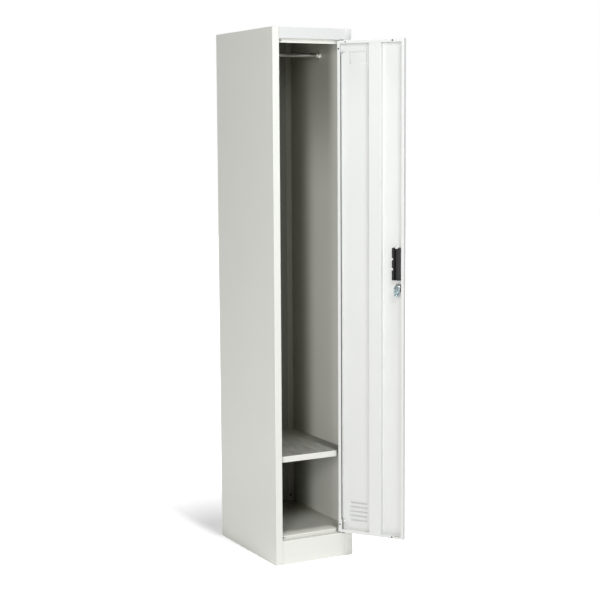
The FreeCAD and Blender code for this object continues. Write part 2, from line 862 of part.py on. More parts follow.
def lock_plug():
    """Turning plug with the keyway in front and a square tail for the cam."""
    body = new_body("lock_plug")
    x, z = lock_axis()
    front = into_door(-cell["lock_head_height"])
    tail = into_door(cam_front() + cell["cam_gauge"])
    disc(body, "XZ_Plane", (x, z), cell["plug_diameter"], front, into_door(cam_front()))
    half = cell["plug_square"] / 2
    box(body, (x - half, x + half), (into_door(cam_front()), tail), (z - half, z + half))
    slot, tall = cell["keyway_width"] / 2, cell["keyway_height"] / 2
    box(body, (x - slot, x + slot), (front - CUT_MARGIN, front + cell["keyway_depth"]),
        (z - tall, z + tall), "Pocket")
    bore = cell["cam_screw"] + cell["cam_fit"]
    disc(body, "XZ_Plane", (x, z), bore, tail - cell["cam_screw_length"], tail, "Pocket")
    return hang(body)


def lock_cam():
    """Flat cam that hangs down when the door is unlocked."""
    body = new_body("lock_cam")
    x, z = lock_axis()
    front, back = into_door(cam_front()), into_door(cam_front() + cell["cam_gauge"])
    half = cell["cam_width"] / 2
    tip = z - cell["cam_reach"] + half
    disc(body, "XZ_Plane", (x, z), cell["cam_hub"], front, back)
    box(body, (x - half, x + half), (front, back), (tip, z))
    disc(body, "XZ_Plane", (x, tip), cell["cam_width"], front, back)
    square = (cell["plug_square"] + cell["cam_fit"]) / 2
    box(body, (x - square, x + square), (front - CUT_MARGIN, back + CUT_MARGIN),
        (z - square, z + square), "Pocket")
    return hang(body)


def cam_screw():
    body = new_body("cam_screw")
    seat = into_door(cam_front() + cell["cam_gauge"])
    crown = seat + cell["cam_screw_head_height"]
    hexagon(body, "XZ_Plane", lock_axis(), cell["cam_screw_head"], seat, crown)
    disc(body, "XZ_Plane", lock_axis(), cell["cam_screw"], seat - cell["cam_screw_length"], seat)
    return hang(body)


# Build and write

def build():
    plinth = cell["plinth_height"]
    stop_middle = fascia_foot - cell["stop_drop"] / 2
    sill_middle = (floor_level + plinth) / 2
    pieces = {
        "left_side_panel": [side_panel("left_side_panel", -1)],
        "right_side_panel": [side_panel("right_side_panel", 1)],
        "back_panel": [back_panel()],
        "top_panel": [top_panel()],
        "floor_panel": [floor_panel()],
        "plinth_panel": [plinth_panel()],
        "shelf": [shelf()],
        "shelf_brackets": [shelf_bracket(f"shelf_bracket_{side}_{place}", hand, place == "near")
                           for side, hand in (("left", -1), ("right", 1)) for place in ("near", "far")],
        "rod_sockets": [rod_socket("rod_socket_left", -1), rod_socket("rod_socket_right", 1)],
        "hanging_rod": [hanging_rod()],
        "hinge_bushes": [hinge_bush("hinge_bush_upper", fascia_foot, 1),
                         hinge_bush("hinge_bush_lower", plinth, -1)],
        "stop_buffers": [stop_buffer("stop_buffer_upper", stop_middle),
                         stop_buffer("stop_buffer_lower", sill_middle)],
        "door_skin": [door_skin()],
        "door_stiffener": [door_stiffener()],
        "hinge_bracket_upper": [hinge_bracket("hinge_bracket_upper", door_head, 1)],
        "hinge_bracket_lower": [hinge_bracket("hinge_bracket_lower", door_foot, -1)],
        "hinge_pins": [hinge_pin("hinge_pin_upper", door_head, 1),
                       hinge_pin("hinge_pin_lower", door_foot, -1)],
        "pull_cup": [pull_cup()],
        "lock_barrel": [lock_barrel()],
        "lock_nut": [lock_nut()],
        "lock_plug": [lock_plug()],
        "lock_cam": [lock_cam()],
        "cam_screw": [cam_screw()],
    }
    doc.recompute()
    return pieces


def check(pieces):
    for item in doc.Objects:
        if "Invalid" in item.State or "Error" in item.State:
            raise RuntimeError(f"{item.Label} failed: {item.State}")
    for bodies in pieces.values():
        for body in bodies:
            if body.Shape.isNull() or not body.Shape.isValid():
                raise RuntimeError(f"{body.Label} has no valid shape")
            if len(body.Shape.Solids) != 1:
                raise RuntimeError(f"{body.Label} is {len(body.Shape.Solids)} solids")


def write(pieces):
    os.makedirs("parts", exist_ok=True)
    for name, bodies in pieces.items():
        solids = [body.Shape.Solids[0] for body in bodies]
        shape = solids[0] if len(solids) == 1 else Part.makeCompound(solids)
        shape.exportStep(f"parts/{name}.step")
        box_of = shape.BoundBox
        print(f"{name}: {shape.Volume:.0f} mm3, {box_of.XMin:.1f} {box_of.XMax:.1f}, "
              f"{box_of.YMin:.1f} {box_of.YMax:.1f}, {box_of.ZMin:.1f} {box_of.ZMax:.1f}")


pieces = build()
check(pieces)
write(pieces)
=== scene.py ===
# %% [markdown]
# # A steel clothes locker
# This lesson dresses a tall locker of folded sheet steel with one hinged door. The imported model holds
# every sheet at its true size and place, so it is loaded first and never moved. The lesson then adds what
# a drawing of sheets lacks: light, finishes, and the small turned and pressed hardware.

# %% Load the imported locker
import json
import math

import bmesh
import bpy
from mathutils import Matrix, Vector


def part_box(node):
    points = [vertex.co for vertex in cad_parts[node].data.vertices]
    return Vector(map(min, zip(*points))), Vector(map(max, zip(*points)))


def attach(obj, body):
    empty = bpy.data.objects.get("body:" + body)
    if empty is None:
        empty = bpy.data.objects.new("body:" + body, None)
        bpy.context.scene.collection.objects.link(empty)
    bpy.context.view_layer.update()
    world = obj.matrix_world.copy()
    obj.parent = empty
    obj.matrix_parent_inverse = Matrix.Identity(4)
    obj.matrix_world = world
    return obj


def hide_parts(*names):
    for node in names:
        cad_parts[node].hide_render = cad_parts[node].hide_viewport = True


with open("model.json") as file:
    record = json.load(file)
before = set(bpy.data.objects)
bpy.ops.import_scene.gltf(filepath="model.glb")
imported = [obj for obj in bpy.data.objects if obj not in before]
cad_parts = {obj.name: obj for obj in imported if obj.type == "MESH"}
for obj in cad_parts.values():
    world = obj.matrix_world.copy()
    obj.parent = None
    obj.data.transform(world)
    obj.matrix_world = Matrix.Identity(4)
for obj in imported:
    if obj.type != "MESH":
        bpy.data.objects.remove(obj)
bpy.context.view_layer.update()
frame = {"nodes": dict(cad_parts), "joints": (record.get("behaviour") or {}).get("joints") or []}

MM = 0.001
nodes = frame["nodes"]
joints = {joint["name"]: joint for joint in frame["joints"]}

# %% [markdown]
# ## Camera
# A Blender camera looks along its own -Z with +Y up. Turning it a right angle about X makes it look along
# +Y, level, and three small turns then give the photograph's view: a turn to the right, a tilt down and a
# trace of roll. A camera could be aimed by a constraint, but a matrix states the whole view in one line.
# The place and the turns come from the locker's own corners in the photograph.

# %% Place the camera
CAMERA_PLACE = (-2.2971, -4.7446, 1.4690)
YAW, PITCH, ROLL = (math.radians(angle) for angle in (-27.5904, -6.506, -0.3452))
LENS, SENSOR = 86.142, 36.0

scene = bpy.context.scene
camera = bpy.data.objects.new("camera", bpy.data.cameras.new("camera"))
camera.data.lens = LENS
camera.data.sensor_width = SENSOR
camera.matrix_world = (Matrix.Translation(CAMERA_PLACE) @ Matrix.Rotation(YAW, 4, "Z")
                       @ Matrix.Rotation(math.pi / 2 + PITCH, 4, "X") @ Matrix.Rotation(ROLL, 4, "Z"))
scene.collection.objects.link(camera)
scene.camera = camera
scene.view_settings.view_transform = "Standard"
print("camera", [round(value, 3) for value in camera.location])

# %% [markdown]
# ## A workbench for finishes
# Each finish is a small node tree round one Principled shader. Written out in full, such trees repeat
# themselves, so a helper class adds a node, feeds its inputs with numbers or with other nodes, and offers
# the few steps that every finish here needs: noise, a range, a mix and a bump. All patterns read Object
# coordinates, which are metres here.

# %% Helper for finishes
NOISE_LOW, NOISE_HIGH = 0.3, 0.7


class Finish:
    """A material under construction."""

    def __init__(self, name):
        self.material = bpy.data.materials.new(name)
        self.material.use_nodes = True
        self.tree = self.material.node_tree
        self.shader = self.tree.nodes["Principled BSDF"]
        self.place = self.add("TexCoord").outputs["Object"]

    def add(self, kind, inputs=(), **settings):
        node = self.tree.nodes.new("ShaderNode" + kind)
        for name, value in settings.items():
            setattr(node, name, value)
        for key, value in dict(inputs).items():
            self.feed(node.inputs[key], value)
        return node

    def feed(self, socket, value):
        if isinstance(value, bpy.types.NodeSocket):
            self.tree.links.new(value, socket)
        else:
            socket.default_value = value

    def set(self, **values):
        for name, value in values.items():
            self.feed(self.shader.inputs[name.replace("_", " ")], value)

    def stretched(self, scale):
        return self.add("Mapping", {"Vector": self.place, "Scale": scale}).outputs[0]

    def noise(self, scale, detail, place=None):
        inputs = {"Vector": place or self.place, "Scale": scale, "Detail": detail}
        return self.add("TexNoise", inputs).outputs[0]

    def range(self, value, low, high, start, end, smooth=False):
        inputs = {0: value, 1: low, 2: high, 3: start, 4: end}
        kind = "SMOOTHSTEP" if smooth else "LINEAR"
        return self.add("MapRange", inputs, interpolation_type=kind).outputs[0]

    def math(self, operation, first, second=0.0):
        return self.add("Math", {0: first, 1: second}, operation=operation).outputs[0]

    def mix(self, factor, first, second):
        return self.add("Mix", {0: factor, 6: first, 7: second}, data_type="RGBA").outputs[2]

    def bump(self, height, distance, strength):
        inputs = {"Height": height, "Distance": distance, "Strength": strength}
        self.set(Normal=self.add("Bump", inputs).outputs[0])


def paint(material, *names):
    """Give packed sheets their finish. Their shapes stay as they are."""
    for name in names:
        nodes[name].data.materials.clear()
        nodes[name].data.materials.append(material)
    print(material.name, "on", *names)


print("finishes can be mixed for", len(nodes), "nodes")

# %% [markdown]
# ## Powder coat
# The sheets are coated with a satin white powder. Baked powder flows into a faint orange peel, about a
# millimetre from crest to crest, with a slower swell under it, and its gloss is a little uneven. Noise at
# two scales makes the peel. It goes to a bump and not into the mesh, because it is far too low to show in
# any outline.

# %% Orange peel and gloss
PEEL_SCALE, SWELL_SCALE, SWELL_SHARE = 850.0, 190.0, 1.5
PEEL_DEPTH, PEEL_STRENGTH = 0.06 * MM, 0.35
GLOSS_SCALE, COAT_ROUGHNESS = 60.0, (0.36, 0.46)


def peel_and_gloss(coat):
    gloss = coat.noise(GLOSS_SCALE, detail=4.0)
    coat.set(Roughness=coat.range(gloss, NOISE_LOW, NOISE_HIGH, *COAT_ROUGHNESS))
    swell = coat.math("MULTIPLY", coat.noise(SWELL_SCALE, detail=1.0), SWELL_SHARE)
    peel = coat.math("ADD", coat.noise(PEEL_SCALE, detail=1.0), swell)
    coat.bump(peel, PEEL_DEPTH, PEEL_STRENGTH)


print("peel", round(1 / PEEL_SCALE / MM, 1), "mm, swell", round(1 / SWELL_SCALE / MM, 1), "mm")

# %% [markdown]
# ## Painted shade inside
# The coat inside the carcass greys towards the back: painted shade of the deep box. It greys in two steps,
# and near the roof, where the box is closed on one more side, the first step is the larger. Vertex paint
# could carry this, but the imported meshes stay as they are, so the place of each point decides. The sheet
# is 0.8 mm thick, and half a gauge tells its inner face from its outer face.

# %% Where the painted shade lies
HALF_GAUGE = 0.4 * MM
LOCKER_WIDTH, LOCKER_DEPTH, LOCKER_HEIGHT = 0.300, 0.450, 1.830
UPPER_START, UPPER_END = 1.25, 1.70
FIRST_SHARE_BELOW, FIRST_SHARE_ABOVE = 0.2, 0.80


def inside_of_carcass(coat, x, y, z):
    """1 on faces that look into the locker, 0 on its outer faces."""
    mask = coat.math("LESS_THAN", coat.math("ABSOLUTE", x), LOCKER_WIDTH / 2 - HALF_GAUGE)
    behind_front = coat.math("GREATER_THAN", y, HALF_GAUGE - LOCKER_DEPTH)
    before_back = coat.math("LESS_THAN", y, -HALF_GAUGE)
    under_roof = coat.math("LESS_THAN", z, LOCKER_HEIGHT - HALF_GAUGE)
    for check in (behind_front, before_back, under_roof):
        mask = coat.math("MULTIPLY", mask, check)
    return mask


def painted_shade(coat, x, y, z, steps):
    """0 where there is no painted shade and 1 where it is darkest. Each step runs from one depth to a deeper
    one.
    """
    first, second = (coat.range(y, *step, 0.0, 1.0, smooth=True) for step in steps)
    share = coat.range(z, UPPER_START, UPPER_END, FIRST_SHARE_BELOW, FIRST_SHARE_ABOVE, smooth=True)
    rest = coat.math("SUBTRACT", 1.0, share)
    depth = coat.math("ADD", coat.math("MULTIPLY", first, share), coat.math("MULTIPLY", second, rest))
    return coat.math("MULTIPLY", depth, inside_of_carcass(coat, x, y, z))


print("first step:", FIRST_SHARE_BELOW, "of the thinning low down,", FIRST_SHARE_ABOVE, "near the roof")

# %% [markdown]
# ## Tones of the coat
# The door and the face of the fascia are a little greyer than the carcass, which is painted shade. The
# back panel has the darkest painted shade of all, and the shelf, the floor and the ledge of the plinth
# carry a grey painted shade in streaks. Each tone could be mixed inside its material, but side by side
# they can be weighed against each other.

# %% Choose the tones
# The door tone and the trim tone are greyer copies of the white coat: painted shade.
COAT_WHITE, COAT_DOOR = (0.80, 0.797, 0.745, 1.0), (0.775, 0.777, 0.757, 1.0)
COAT_TRIM = (0.685, 0.683, 0.668, 1.0)
# The inside tone and the back tone are painted shade: the dark of the deep box.
INSIDE_SHADE, BACK_SHADE = (0.247, 0.243, 0.196, 1.0), (0.17, 0.168, 0.141, 1.0)
# The shelf, floor and ledge tones are painted shade, laid in streaks.
SHELF_SHADE, FLOOR_SHADE = (0.155, 0.153, 0.135, 1.0), (0.59, 0.583, 0.53, 1.0)
LEDGE_SHADE = (0.47, 0.468, 0.43, 1.0)
print("coat from", max(COAT_WHITE[:3]), "down to", min(BACK_SHADE[:3]))

# %% [markdown]
# ## A coat for each sheet
# One recipe coats every sheet, and only its tones and places change. A second tone goes on in streaks
# just behind a front edge or on top of a ledge, so it is given by an axis and two places along it; on the
# shelf, the floor and the ledge it is painted shade. The fascia uses the same means the other way round:
# its face is the greyer tone, which is painted shade, and the second tone is the white behind it. On the
# roof, the shelf and the floor the painted shade inside deepens in one step, so both of their steps are
# the same.

# %% Coat the sheets
WALL_STEPS = ((-0.345, -0.275), (-0.20, -0.06))
ROOF_STEPS, SHELF_STEPS, FLOOR_STEPS = 2 * [(-0.42, -0.33)], 2 * [(-0.305, -0.035)], 2 * [(-0.33, -0.07)]
Y, Z = 1, 2
BEHIND_SHELF_EDGE, BEHIND_SILL = (Y, -0.4256, -0.4225), (Y, -0.4294, -0.426)
BEHIND_FASCIA, ON_LEDGE = (Y, -0.4496, -0.4488), (Z, 0.0842, 0.0848)
CLOUD_SCALE, CLOUD_SHARE, CLOUD_SHADE = 5.0, 0.3, 0.95
STREAK_STRETCH, STREAK_SPAN, STREAK_COVER = (60.0, 14.0, 14.0), (0.35, 0.7), (0.82, 1.0)


def powder_coat(name, tone, second_tone=None, second_place=None, steps=WALL_STEPS, shade_tone=INSIDE_SHADE):
    coat = Finish(name)
    axes = coat.add("SeparateXYZ", {0: coat.place}).outputs
    cloud = coat.range(coat.noise(CLOUD_SCALE, detail=3.0), NOISE_LOW, NOISE_HIGH, 0.0, CLOUD_SHARE)
    colour = coat.mix(cloud, tone, [CLOUD_SHADE * value for value in tone[:3]] + [1.0])
    # The second tone goes on in streaks behind a given place: painted shade on the shelf, floor and ledge.
    if second_tone:
        streak_noise = coat.noise(1.0, detail=6.0, place=coat.stretched(STREAK_STRETCH))
        streaks = coat.range(streak_noise, *STREAK_SPAN, *STREAK_COVER)
        axis, start, end = second_place
        reach = coat.range(axes[axis], start, end, 0.0, 1.0, smooth=True)
        colour = coat.mix(coat.math("MULTIPLY", streaks, reach), colour, second_tone)
    # The painted shade of the deep box goes over the coat's own colour.
    coat.set(Base_Color=coat.mix(painted_shade(coat, *axes, steps), colour, shade_tone))
    peel_and_gloss(coat)
    return coat.material


coat_white = powder_coat("powder_coat_white", COAT_WHITE)
coat_door = powder_coat("powder_coat_door", COAT_DOOR)
coat_trim = powder_coat("powder_coat_trim", COAT_TRIM, COAT_WHITE, BEHIND_FASCIA, ROOF_STEPS)
paint(coat_white, "left_side_panel", "right_side_panel", "shelf_brackets")
paint(coat_door, "door_skin", "door_stiffener", "hinge_bracket_upper", "hinge_bracket_lower")
paint(coat_trim, "top_panel")
paint(powder_coat("powder_coat_shelf", COAT_WHITE, SHELF_SHADE, BEHIND_SHELF_EDGE, SHELF_STEPS), "shelf")
paint(powder_coat("powder_coat_floor", COAT_WHITE, FLOOR_SHADE, BEHIND_SILL, FLOOR_STEPS), "floor_panel")
paint(powder_coat("powder_coat_plinth", COAT_WHITE, LEDGE_SHADE, ON_LEDGE), "plinth_panel")
paint(powder_coat("powder_coat_back", COAT_WHITE, shade_tone=BACK_SHADE), "back_panel")

# %% [markdown]
# ## Metals
# The rod is drawn tube with bright chrome: the drawing leaves hair lines along its length, so noise is
# stretched along X. The pins, plug and cam are zinc plated, which is a little blue and mottled, and the
# nut and the screw have gone dull. The rod's cups are die cast and tumbled to a satin grain. One recipe
# serves all four, because they differ only in two tones, gloss and grain.

# %% Make the metals
PATCH_SCALE, PATCH_SPAN = 260.0, (0.47, 0.56)
LINE_DEPTH, LINE_STRENGTH = 0.01 * MM, 0.4
ALONG_X, EVEN = (0.01, 1.0, 1.0), (1.0, 1.0, 1.0)


def metal(name, tone, patch, rough, grain=1500.0, stretch=EVEN):
    plate = Finish(name)
    spread = plate.range(plate.noise(PATCH_SCALE, detail=2.0), *PATCH_SPAN, 0.0, 1.0)
    plate.set(Metallic=1.0, Base_Color=plate.mix(spread, tone, patch))
    lines = plate.noise(grain, detail=3.0, place=plate.stretched(stretch))
    plate.set(Roughness=plate.range(lines, NOISE_LOW, NOISE_HIGH, *rough))
    plate.bump(lines, LINE_DEPTH, LINE_STRENGTH)
    return plate.material


chrome = metal("bright_chrome", tone=(0.56, 0.56, 0.55, 1.0), patch=(0.48, 0.48, 0.47, 1.0),
               rough=(0.10, 0.20), stretch=ALONG_X)
zinc = metal("zinc_plate", tone=(0.40, 0.49, 0.52, 1.0), patch=(0.07, 0.09, 0.095, 1.0), rough=(0.20, 0.38))
dull_zinc = metal("dull_zinc_plate", tone=(0.25, 0.28, 0.28, 1.0), patch=(0.14, 0.155, 0.155, 1.0),
                  rough=(0.28, 0.44))
cast_satin = metal("satin_casting", tone=(0.94, 0.94, 0.89, 1.0), patch=(0.86, 0.86, 0.81, 1.0),
                   rough=(0.42, 0.54), grain=2600.0)
print("metals", chrome.name, zinc.name, dull_zinc.name, cast_satin.name)

# %% [markdown]
# ## Plastics and rubber
# The pull is moulded in black with a fine spark-eroded grain. A dark grey of the same make paints the
# highlight along the pull's roll and the shade in the card frame's lines. A matt black with no gloss at
# all, like felt, paints shade: the strips along the hinge edge, the pads, the groove of the pull and the
# small plugs. The pivot bushes are black nylon, and the stop buffers are clear soft rubber. They differ
# only in colour, gloss and grain, so one recipe makes them all, and what is even all over, such as the
# shine of the black, is set on the shader's own socket.

# %% Make the plastics
SHADE_SCALE, GRAIN_STRENGTH = 90.0, 0.5


def moulded(name, tone, patch, rough, grain, depth, **sockets):
    plastic = Finish(name)
    plastic.set(Base_Color=plastic.mix(plastic.noise(SHADE_SCALE, detail=2.0), tone, patch), **sockets)
    texture = plastic.noise(grain, detail=2.0)
    plastic.set(Roughness=plastic.range(texture, NOISE_LOW, NOISE_HIGH, *rough))
    plastic.bump(texture, depth, GRAIN_STRENGTH)
    return plastic.material


black_grain = moulded("black_moulding", tone=(0.007, 0.007, 0.0075, 1.0), patch=(0.013, 0.013, 0.0135, 1.0),
                      rough=(0.40, 0.54), grain=2400.0, depth=0.05 * MM, Specular_IOR_Level=0.25)
# A dark grey that paints the highlight on the pull's roll and the shade in the card frame's lines.
painted_grey = moulded("painted_grey", tone=(0.11, 0.11, 0.115, 1.0), patch=(0.17, 0.17, 0.175, 1.0),
                       rough=(0.40, 0.54), grain=2400.0, depth=0.05 * MM)
# A matt black that paints shade in gaps, folds, the pull's groove and the plug holes.
shade_black = moulded("shade_black", tone=(0.007, 0.007, 0.007, 1.0), patch=(0.013, 0.013, 0.013, 1.0),
                     rough=(0.90, 1.0), grain=900.0, depth=0.2 * MM, Specular_IOR_Level=0.0)
nylon = moulded("black_nylon", tone=(0.016, 0.016, 0.017, 1.0), patch=(0.024, 0.024, 0.025, 1.0),
                rough=(0.44, 0.58), grain=1200.0, depth=0.02 * MM)
clear_rubber = moulded("clear_rubber", tone=(0.82, 0.83, 0.82, 1.0), patch=(0.74, 0.75, 0.73, 1.0),
                       rough=(0.24, 0.36), grain=700.0, depth=0.02 * MM, Transmission_Weight=0.55)
print("plastics", black_grain.name, painted_grey.name, shade_black.name, nylon.name, clear_rubber.name)

# %% [markdown]
# ## Turned hardware
# Most of the small parts came off a lathe: the rod, its cups, the pivot pins and bushes, the lock barrel
# and the buffers. A stack of cylinders could stand for each, but a lathe is a spin: a half section is
# drawn once, as radius and distance along the axis, and spun round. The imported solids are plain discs, so
# each spun piece replaces its node and adds the eased rims that catch light.

# %% Lathe helper
ROUND, PIN_ROUND, BUFFER_ROUND, PLUG_ROUND, SCREW_ROUND = 64, 40, 32, 24, 20
SMOOTH_ANGLE = math.radians(32)
WELD = 1e-6


def piece_from(bm, name, material, body, slot, *stands_for):
    """Weld a bmesh, make it an object, and tell the frame what it rides on and stands for."""
    bmesh.ops.remove_doubles(bm, verts=bm.verts, dist=WELD)
    bmesh.ops.recalc_face_normals(bm, faces=bm.faces)
    mesh = bpy.data.meshes.new(name)
    bm.to_mesh(mesh)
    bm.free()
    mesh.shade_smooth()
    mesh.set_sharp_from_angle(angle=SMOOTH_ANGLE)
    mesh.materials.append(material)
    piece = bpy.data.objects.new(name, mesh)
    scene.collection.objects.link(piece)
    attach(piece, body)
    if stands_for:
        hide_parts(*stands_for)
    print(name, len(mesh.polygons), "faces")


def lathe(bm, section, place, steps=ROUND):
    """Spin a half section, given in millimetres, round the Z axis of place."""
    before = set(bm.verts)
    spots = [bm.verts.new((radius * MM, 0.0, along * MM)) for radius, along in section]
    edges = [bm.edges.new(pair) for pair in zip(spots, spots[1:])]
    if section[0][0] > 0:
        edges.append(bm.edges.new((spots[-1], spots[0])))
    bmesh.ops.spin(bm, geom=spots + edges, cent=(0, 0, 0), axis=(0, 0, 1), angle=math.tau, steps=steps,
                   use_merge=True)
    bmesh.ops.transform(bm, matrix=place, verts=[vert for vert in bm.verts if vert not in before])


def pointing(origin, direction):
    """A place whose Z axis points along direction."""
    return Matrix.Translation(origin) @ Vector(direction).to_track_quat("Z", "Y").to_matrix().to_4x4()


print("the lathe turns in", ROUND, "steps, small parts in", SCREW_ROUND)

# %% [markdown]
# ## Hanging rod
# The rod is a plain tube, open at both ends. A cylinder with a Solidify modifier would do, but a half
# section that is a thin closed outline gives the wall and the eased rims in one spin.

# %% Turn the rod
rod_low, rod_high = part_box("hanging_rod")
rod_middle = (rod_low + rod_high) / 2
rod_length = (rod_high.x - rod_low.x) / MM
ROD_RIM = 0.4
ROD_SECTION = [(6.8, ROD_RIM), (7.1, 0), (7.6, 0), (8, ROD_RIM), (8, rod_length - ROD_RIM),
               (7.6, rod_length), (7.1, rod_length), (6.8, rod_length - ROD_RIM)]
bm = bmesh.new()
lathe(bm, ROD_SECTION, pointing((rod_low.x, rod_middle.y, rod_middle.z), (1, 0, 0)))
piece_from(bm, "rod_tube", chrome, "cabinet", "chrome", "hanging_rod")

# %% [markdown]
# ## Cups of the rod
# Two flanged cups hold the rod's ends. Each cup is turned: a flange on the wall, a small fillet, a sleeve
# with an eased mouth and a blind bore. A boolean could cut the bore, but a section that goes in and out
# again draws it at once. Two small screws hold each flange.

# %% Turn the cups and their screws
CUP_SECTION = [(0, 0), (14.6, 0), (15, 0.4), (15, 1.4), (14.4, 2), (11.6, 2), (10.9, 2.3), (10.65, 3),
               (10.65, 13.4), (10.1, 14), (8.7, 14), (8.15, 13.4), (8.15, 2), (0, 2)]
cup_low, cup_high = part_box("rod_sockets")
cup_sides = ((cup_low.x, 1), (cup_high.x, -1))
bm = bmesh.new()
for wall, inward in cup_sides:
    lathe(bm, CUP_SECTION, pointing((wall, rod_middle.y, rod_middle.z), (inward, 0, 0)))
piece_from(bm, "rod_cups", cast_satin, "cabinet", "socket_metal", "rod_sockets")

SCREW_RING, SCREW_TILT = 12.9 * MM, math.radians(40)
SCREW_SECTION = [(0, 2.75), (0.7, 2.75), (1.3, 2.6), (1.7, 2.3), (1.8, 2), (0, 2)]
bm = bmesh.new()
for wall, inward in cup_sides:
    for turn in (SCREW_TILT, SCREW_TILT + math.pi):
        spot = (wall, rod_middle.y + SCREW_RING * math.cos(turn), rod_middle.z + SCREW_RING * math.sin(turn))
        lathe(bm, SCREW_SECTION, pointing(spot, (inward, 0, 0)), SCREW_ROUND)
piece_from(bm, "cup_screws", zinc, "cabinet", "socket_metal")

# %% [markdown]
# ## Pivot pins and bushes
# The door turns on two headed pins that stand in flanged nylon bushes. Both pairs mirror each other, one
# pin up and one pin down. A mirror would turn the faces inside out, so one section is spun twice instead,
# along opposite ways.

# %% Turn the pins and the bushes
hinge_axis = Vector(joints["door_hinge"]["pos_m"])
pin_low, pin_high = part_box("hinge_pins")
PIN_LENGTH = 50.8
PIN_SECTION = [(0, 0), (3, 0), (4.1, 0.3), (4.5, 1), (4.5, 2.7), (4.2, 3), (3, 3), (3, PIN_LENGTH - 1.4),
               (2.2, PIN_LENGTH - 0.2), (1.8, PIN_LENGTH), (0, PIN_LENGTH)]
bm = bmesh.new()
for tip, way in ((pin_high.z, 1), (pin_low.z, -1)):
    pin_head = (hinge_axis.x, hinge_axis.y, tip - way * PIN_LENGTH * MM)
    lathe(bm, PIN_SECTION, pointing(pin_head, (0, 0, way)), PIN_ROUND)
piece_from(bm, "pivot_pins", zinc, "door", "zinc_steel", "hinge_pins")

BUSH_LENGTH = 7.9
BUSH_SECTION = [(3.05, 0.3), (3.35, 0), (5.1, 0), (5.5, 0.4), (5.5, 1.6), (5.2, 1.9), (4.05, 1.9),
                (4.05, 7.5), (3.7, BUSH_LENGTH), (3.3, BUSH_LENGTH), (3.05, 7.6)]
bush_low, bush_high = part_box("hinge_bushes")
bm = bmesh.new()
for end, way in ((bush_high.z, 1), (bush_low.z, -1)):
    bush_foot = (hinge_axis.x, hinge_axis.y, end - way * BUSH_LENGTH * MM)
    lathe(bm, BUSH_SECTION, pointing(bush_foot, (0, 0, way)), PIN_ROUND)
piece_from(bm, "pivot_bushes", nylon, "cabinet", "nylon", "hinge_bushes")

# %% [markdown]
# ## Stop buffers
# Two clear domes of soft rubber are stuck to the door stop, and the closed door meets them. A squashed
# sphere comes close, but a real dome has a short straight wall at its foot, which a section can draw.

# %% Turn the buffers
BUFFER_RADIUS = 4 * MM
BUFFER_SECTION = [(0, 1.7), (1.2, 1.66), (2.4, 1.5), (3.3, 1.1), (3.85, 0.6), (4, 0.2), (4, 0), (0, 0)]
buffer_low, buffer_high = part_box("stop_buffers")
bm = bmesh.new()
for level in (buffer_low.z + BUFFER_RADIUS, buffer_high.z - BUFFER_RADIUS):
    buffer_foot = (buffer_low.x + BUFFER_RADIUS, buffer_high.y, level)
    lathe(bm, BUFFER_SECTION, pointing(buffer_foot, (0, -1, 0)), BUFFER_ROUND)
piece_from(bm, "stop_domes", clear_rubber, "cabinet", "clear_rubber", "stop_buffers")

# %% [markdown]
# ## Cam lock
# The barrel goes through the door from outside and a nut holds it from inside. Its outside is threaded. A
# true screw thread would be a helix, but at this size rings look the same, so the half section carries a
# row of crests 1.25 mm apart. Its head is a stepped ring round the plug.

# %% Turn the lock barrel
lock_face = Vector(joints["lock_turn"]["pos_m"])
lock_way = Vector(joints["lock_turn"]["axis"])
LOCK_HEAD, LOCK_END = 3.0, 23.0
THREAD_RADIUS, THREAD_PITCH, THREAD_DEPTH = 9.5, 1.25, 0.5
THREAD_START, THREAD_END = LOCK_HEAD + 0.6, LOCK_END - 0.4
CREST_START, CREST_END, ROOT = 0.1, 0.3, 0.75
crests = []
along = THREAD_START
while along + THREAD_PITCH < THREAD_END:
    crests += [(THREAD_RADIUS, along + CREST_START), (THREAD_RADIUS, along + CREST_END),
               (THREAD_RADIUS - THREAD_DEPTH, along + ROOT)]
    along += THREAD_PITCH
BARREL_SECTION = [(6.8, 0.35), (7.3, 0.1), (9.2, 0), (9.6, 0.5), (11.2, 0.5), (12, 1.3), (12, 2.8),
                  (11.8, LOCK_HEAD), (9.2, LOCK_HEAD), *crests, (9, LOCK_END - 0.5), (8.6, LOCK_END),
                  (7, LOCK_END), (6.8, LOCK_END - 0.2)]
bm = bmesh.new()
lathe(bm, BARREL_SECTION, pointing(lock_face, lock_way))
piece_from(bm, "lock_body", chrome, "door", "chrome", "lock_barrel")

# %% [markdown]
# ## Eased copies
# The nut, cam, plug, screw and pull are not round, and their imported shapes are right, only sharp.
# Modelling them anew would repeat what is already true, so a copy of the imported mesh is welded, its flat
# triangles are dissolved back into faces, and its sharp edges get a small bevel.

# %% Ease the edges of the rest
SHARP, FLAT = math.radians(35), math.radians(0.5)
COPY_WELD = 1e-5


def eased(node, name, width, material, body, slot):
    bm = bmesh.new()
    bm.from_mesh(nodes[node].data)
    bmesh.ops.remove_doubles(bm, verts=bm.verts, dist=COPY_WELD)
    bmesh.ops.dissolve_limit(bm, angle_limit=FLAT, use_dissolve_boundaries=False, verts=bm.verts,
                             edges=bm.edges, delimit=set())
    edges = [edge for edge in bm.edges if edge.is_manifold and edge.calc_face_angle() > SHARP]
    bmesh.ops.bevel(bm, geom=edges, offset=width, offset_type="OFFSET", segments=2, profile=0.5,
                    affect="EDGES", clamp_overlap=True, material=-1)
    piece_from(bm, name, material, body, slot, node)


